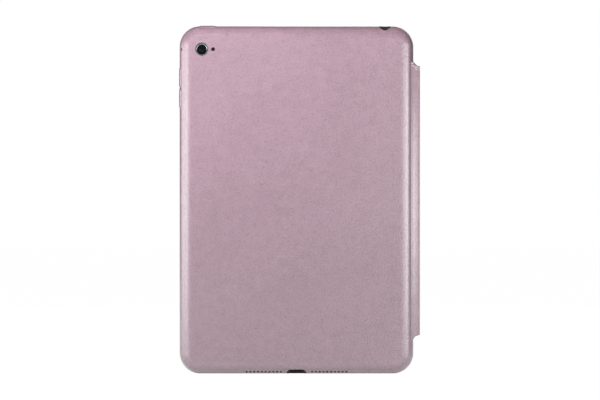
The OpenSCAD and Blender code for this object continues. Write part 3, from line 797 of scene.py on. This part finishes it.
def brushed_group():
    """Long fine scratches along one axis. Stretch gives how much each axis is squeezed."""
    group, given, out = new_group("brushed lines", {
        "Where": (0.0, 0.0, 0.0), "Stretch": (900.0, 900.0, 30.0), "Colour": (0.6, 0.6, 0.6, 1),
        "Rough low": 0.2, "Rough high": 0.4}, OUTPUTS)
    lines = noise(group, moved(group, "MULTIPLY", given["Where"], given["Stretch"]), 2.0, 4.0, 0.6)
    tint = scaled(group, given["Colour"], spread(group, lines, 0.85, 1.1, 0.25, 0.75))
    group.links.new(tint, out["Colour"])
    rough = spread(group, lines, given["Rough low"], given["Rough high"], 0.25, 0.75)
    group.links.new(rough, out["Roughness"])
    group.links.new(lines, out["Height"])
    return group


def nap_group():
    """Short brushed pile: fine fibres, and slow patches where the pile lies another way."""
    group, given, out = new_group("soft nap", {
        "Where": (0.0, 0.0, 0.0), "Light": (0.6, 0.5, 0.5, 1), "Dark": (0.5, 0.4, 0.4, 1)}, OUTPUTS)
    squeezed = moved(group, "MULTIPLY", given["Where"], (1.0, 1.0, 0.45))
    fibres = noise(group, squeezed, 5200.0, 3.0, 0.7)
    patch = noise(group, given["Where"], 70.0, 3.0, 0.6)
    tone = spread(group, blended(group, (fibres, 0.5), (patch, 0.5)), 0.0, 1.0, 0.3, 0.7)
    group.links.new(mixed(group, tone, given["Dark"], given["Light"]), out["Colour"])
    group.links.new(spread(group, fibres, 0.85, 1.0), out["Roughness"])
    group.links.new(fibres, out["Height"])
    return group


# ---------- materials ----------

def new_material(name, slot_values):
    """A material with one Principled BSDF. slot_values are the shader's constant sockets."""
    made = bpy.data.materials.new(name)
    made.use_nodes = True
    tree = made.node_tree
    tree.nodes.clear()
    shader = add(tree, "ShaderNodeBsdfPrincipled", slot_values)
    output = add(tree, "ShaderNodeOutputMaterial")
    tree.links.new(shader.outputs[0], output.inputs["Surface"])
    where = add(tree, "ShaderNodeTexCoord").outputs["Object"]
    return made, tree, shader, where


def grouped(name, group, inputs, slot_values, bump=0.0, reach=0.0001):
    """A material whose colour, roughness and height come from a group."""
    made, tree, shader, where = new_material(name, slot_values)
    part = tree.nodes.new("ShaderNodeGroup")
    part.node_tree = group
    tree.links.new(where, part.inputs["Where"])
    for key, value in inputs.items():
        part.inputs[key].default_value = value
    tree.links.new(part.outputs["Colour"], shader.inputs["Base Color"])
    tree.links.new(part.outputs["Roughness"], shader.inputs["Roughness"])
    if bump:
        relief = add(tree, "ShaderNodeBump", {"Strength": bump, "Distance": reach,
                                              "Height": part.outputs["Height"]})
        tree.links.new(relief.outputs[0], shader.inputs["Normal"])
    return made


def paint(red, green, blue):
    return (red, green, blue, 1.0)


def front_glass_material():
    """White border printed behind the glass round a dark screen, with two dark dots over the screen."""
    made, tree, shader, where = new_material("front_glass_printed", {"Roughness": 0.05, "Coat Weight": 0.3,
                                                                    "Coat Roughness": 0.02, "IOR": 1.5})
    centre = ((GLASS_LOW + GLASS_HIGH) / 2 * MM).tolist()
    place = moved(tree, "SUBTRACT", where, centre)
    split = add(tree, "ShaderNodeSeparateXYZ", {0: place})
    across, up = split.outputs[0], split.outputs[2]
    inside = maths(tree, "MULTIPLY",
                   maths(tree, "LESS_THAN", maths(tree, "ABSOLUTE", across), SCREEN_HALF[0] * MM),
                   maths(tree, "LESS_THAN", maths(tree, "ABSOLUTE", up), SCREEN_HALF[1] * MM))
    dots = [maths(tree, "LESS_THAN", dot_distance(tree, across, up, v), r * MM) for v, r in FRONT_DOTS]
    dark = maths(tree, "MAXIMUM", inside, maths(tree, "MAXIMUM", *dots))
    dust = noise(tree, where, 900.0, 2.0)
    border = mixed(tree, dust, paint(0.29, 0.29, 0.295), paint(0.31, 0.31, 0.315))
    screen = mixed(tree, noise(tree, where, 25.0), paint(0.008, 0.008, 0.010), paint(0.014, 0.014, 0.017))
    tree.links.new(mixed(tree, dark, border, screen), shader.inputs["Base Color"])
    smear = noise(tree, where, 45.0, 4.0, 0.6)
    tree.links.new(spread(tree, smear, 0.04, 0.09), shader.inputs["Roughness"])
    return made


def dot_distance(tree, across, up, v):
    """Distance from a dot on the middle line, v millimetres above the glass's middle."""
    lifted = maths(tree, "SUBTRACT", up, v * MM)
    return maths(tree, "SQRT", maths(tree, "ADD", maths(tree, "MULTIPLY", across, across),
                                     maths(tree, "MULTIPLY", lifted, lifted)))


# Slot: colour, lowest and highest roughness, and how metallic.
SPECKLED_SLOTS = {
    # The shell's plastic is near-black so that where it shows in the walls of the openings it reads as shade:
    # painted shade.
    "shell_plastic": ((0.025, 0.021, 0.023), 0.45, 0.6, 0.0),
    "cover_board": ((0.03, 0.028, 0.03), 0.6, 0.8, 0.0),
    "silver_housing": ((0.62, 0.63, 0.65), 0.28, 0.42, 0.9),
    "black_plastic": ((0.018, 0.018, 0.02), 0.4, 0.6, 0.0),
    "white_plastic": ((0.29, 0.29, 0.29), 0.4, 0.5, 0.0),
    "circuit_board": ((0.01, 0.07, 0.045), 0.35, 0.5, 0.0),
    "chip_black": ((0.015, 0.015, 0.017), 0.5, 0.65, 0.0),
    "battery_foil": ((0.025, 0.025, 0.03), 0.35, 0.5, 0.4),
    "button_white": ((0.29, 0.29, 0.295), 0.10, 0.16, 0.0),
    "display_glass": ((0.006, 0.006, 0.008), 0.05, 0.1, 0.0),
    "flex_copper": ((0.28, 0.11, 0.02), 0.35, 0.5, 0.2),
}

BRUSHED_SLOTS = {
    "magnet_steel": (0.50, 0.50, 0.52),
    "spring_steel": (0.36, 0.37, 0.39),
    "trim_steel": (0.52, 0.53, 0.55),
    "contact_gold": (0.62, 0.42, 0.12),
    "camera_trim": (0.66, 0.67, 0.69),
}


def speckled_values(colour, size, strength, low, high):
    """Inputs of the speckle group."""
    return {"Colour": paint(*colour), "Size": size, "Strength": strength,
            "Rough low": low, "Rough high": high}


def leather_materials():
    """Leather of the case and cover, the near-black walls of its openings as painted shade, and the cover's
    lining.
    """
    grain = {"Light": paint(0.185, 0.121, 0.147), "Dark": paint(0.096, 0.061, 0.075), "Size": 0.0008,
             "Rough low": 0.30, "Rough high": 0.44}
    gloss = {"Specular IOR Level": 1.0, "Coat Weight": 0.8, "Coat Roughness": 0.30}
    pile = {"Light": paint(0.25, 0.175, 0.205), "Dark": paint(0.19, 0.130, 0.155)}
    sheen = {"Sheen Weight": 0.35, "Sheen Roughness": 0.5}
    # Near-black for the walls cut through the case's openings: painted shade of the holes, not a colour of the
    # leather's edge.
    edge = speckled_values((0.018, 0.014, 0.016), 0.0003, 0.3, 0.55, 0.75)
    return {
        "case_leather": grouped("pink_grained_leather", leather_group(), grain, gloss,
                                bump=1.0, reach=0.00014),
        "opening_painted_shade": grouped("opening_wall_painted_shade", SPECKLE, edge, {"Specular IOR Level": 0.2},
                            bump=0.2, reach=0.00005),
        "case_lining": grouped("brushed_microfibre", nap_group(), pile, sheen, bump=0.4, reach=0.00008),
    }


def make_materials():
    """One material for each slot of the record, and a few for the new pieces."""
    made = leather_materials()
    for slot, (colour, low, high, metal) in SPECKLED_SLOTS.items():
        values = speckled_values(colour, 0.00025, 0.12, low, high)
        made[slot] = grouped(slot + "_finish", SPECKLE, values, {"Metallic": metal},
                             bump=0.12, reach=0.00003)
    lines = brushed_group()
    for slot, colour in BRUSHED_SLOTS.items():
        values = {"Colour": paint(*colour), "Rough low": 0.16, "Rough high": 0.34}
        made[slot] = grouped(slot + "_finish", lines, values, {"Metallic": 1.0}, bump=0.08, reach=0.00002)
    lens = speckled_values((0.002, 0.002, 0.003), 0.00025, 0.12, 0.03, 0.07)
    made["lens_glass"] = grouped("dark_lens_glass", SPECKLE, lens, {"Specular IOR Level": 0.3},
                                 bump=0.05, reach=0.00001)
    made["front_glass"] = front_glass_material()
    return made


def paint_cad_nodes():
    """Every CAD node takes the material of its slot."""
    for part in frame["record"]["subparts"]:
        mesh = frame["nodes"][part["node"]].data
        mesh.materials.clear()
        mesh.materials.append(MATERIALS[part["material_slot"]])


# ---------- camera, floor and light ----------

def make_camera_view():
    """A long lens level with the middle of the object, looking straight at the case's back."""
    lens = bpy.data.cameras.new("view")
    lens.lens = VIEW_LENS
    lens.sensor_width = VIEW_SENSOR
    lens.clip_start = 0.01
    lens.clip_end = 50.0
    view = bpy.data.objects.new("view", lens)
    bpy.context.scene.collection.objects.link(view)
    distance = VIEW_WIDTH * VIEW_LENS / VIEW_SENSOR
    view.location = (VIEW_X * MM, (BACK_Y - distance) * MM, VIEW_Z * MM)
    view.rotation_euler = (math.radians(90), 0.0, 0.0)
    bpy.context.scene.camera = view


def make_lamp(name, place, aim, size, power, shines):
    """A soft rectangular lamp at place that points at aim, both in millimetres. Size is wide, high.
    A lamp that does not shine only lights, and leaves no reflection of itself."""
    data = bpy.data.lights.new(name, "AREA")
    data.shape = "RECTANGLE"
    data.size, data.size_y = size[0] * MM, size[1] * MM
    data.energy = power
    lamp = bpy.data.objects.new(name, data)
    bpy.context.scene.collection.objects.link(lamp)
    lamp.location = Vector(place) * MM
    lamp.rotation_mode = "QUATERNION"
    lamp.rotation_quaternion = (Vector(aim) - Vector(place)).to_track_quat("-Z", "Y")
    lamp.visible_glossy = shines


def make_floor():
    """A wide pale floor. Seen directly it is nearly as bright as the backdrop."""
    half = FLOOR_HALF
    points = [(-half, -half, FLOOR_Z), (half, -half, FLOOR_Z), (half, half, FLOOR_Z), (-half, half, FLOOR_Z)]
    mesh = bpy.data.meshes.new("floor")
    mesh.from_pydata((np.array(points) * MM).tolist(), [], [[0, 1, 2, 3]])
    floor = bpy.data.objects.new("floor", mesh)
    bpy.context.scene.collection.objects.link(floor)
    made, tree, shader, where = new_material("pale_floor", {
        "Roughness": 0.9, "Base Color": paint(0.40, 0.40, 0.40), "Emission Color": paint(1.0, 1.0, 1.0),
        "Emission Strength": 0.5})
    glow = add(tree, "ShaderNodeEmission", {"Color": paint(1.0, 1.0, 1.0), "Strength": 1.0})
    seen = maths(tree, "MULTIPLY", add(tree, "ShaderNodeLightPath").outputs["Is Camera Ray"], 0.985)
    both = add(tree, "ShaderNodeMixShader", {0: seen, 1: shader.outputs[0], 2: glow.outputs[0]})
    output = tree.nodes["Material Output"]
    tree.links.new(both.outputs[0], output.inputs["Surface"])
    mesh.materials.append(made)


def make_light():
    """A surround that is white to look at and dim as a light, and the lamps."""
    world = bpy.data.worlds.new("surround")
    bpy.context.scene.world = world
    world.use_nodes = True
    tree = world.node_tree
    tree.nodes.clear()
    dim = add(tree, "ShaderNodeBackground", {"Color": paint(0.93, 0.97, 1.0), "Strength": 0.03})
    white = add(tree, "ShaderNodeBackground", {"Color": paint(1.0, 1.0, 1.0), "Strength": 1.0})
    seen = add(tree, "ShaderNodeLightPath").outputs["Is Camera Ray"]
    both = add(tree, "ShaderNodeMixShader", {0: seen, 1: dim.outputs[0], 2: white.outputs[0]})
    output = add(tree, "ShaderNodeOutputWorld")
    tree.links.new(both.outputs[0], output.inputs["Surface"])
    for lamp in LAMPS:
        make_lamp(*lamp)
    bpy.context.scene.view_settings.view_transform = "Standard"


make_camera_view()
SPECKLE = speckle_group()
MATERIALS = make_materials()
paint_cad_nodes()
make_case_leather()
make_pad("volume_up_pad", False)
make_pad("volume_down_pad", False)
make_pad("power_pad", True)
make_web_leather()
make_spine_leather()
make_cover()
make_camera()
make_microphone()
make_home_button()
make_floor()
make_light()
